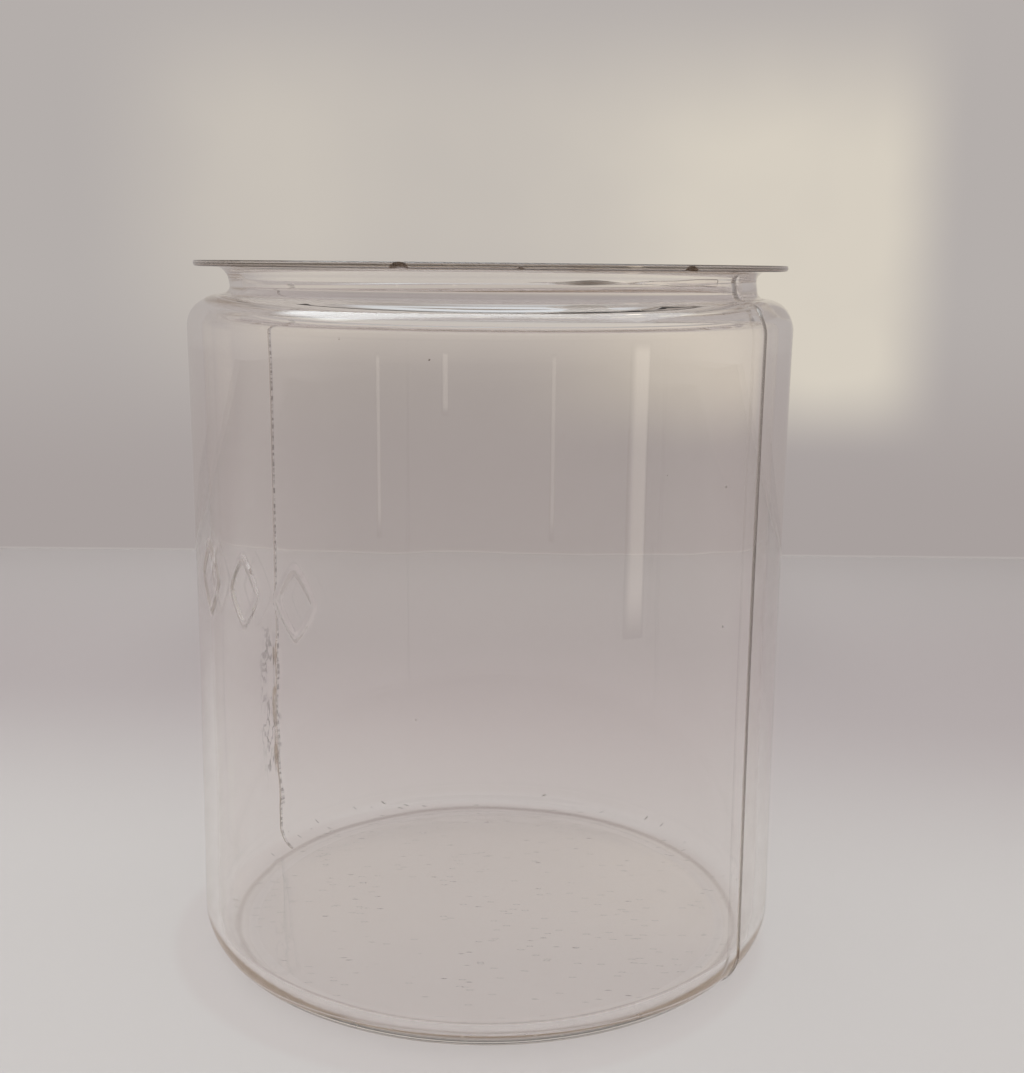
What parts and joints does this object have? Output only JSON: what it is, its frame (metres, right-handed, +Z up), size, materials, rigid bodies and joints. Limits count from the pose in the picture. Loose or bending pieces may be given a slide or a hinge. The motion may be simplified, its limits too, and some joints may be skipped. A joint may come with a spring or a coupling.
{
  "type": "gas jar",
  "caption": "Wide clear glass gas jar with a rounded shoulder, short neck and a flat ground flange at the mouth; it stands on its base ring.",
  "frame": {"origin": "on the jar's axis, at the surface it stands on", "axes": "+Z up along the jar's axis; the jar's two mould seams lie at 34.5 degrees from +X towards -Y, and opposite"},
  "size_m": [0.152, 0.152, 0.176],
  "materials": {
    "clear_glass": "clear moulded glass with a faint grey-pink tint, ground flat on top of the flange"
  },
  "bodies": {
    "root": {"jar": "clear_glass"}
  },
  "joints": []
}
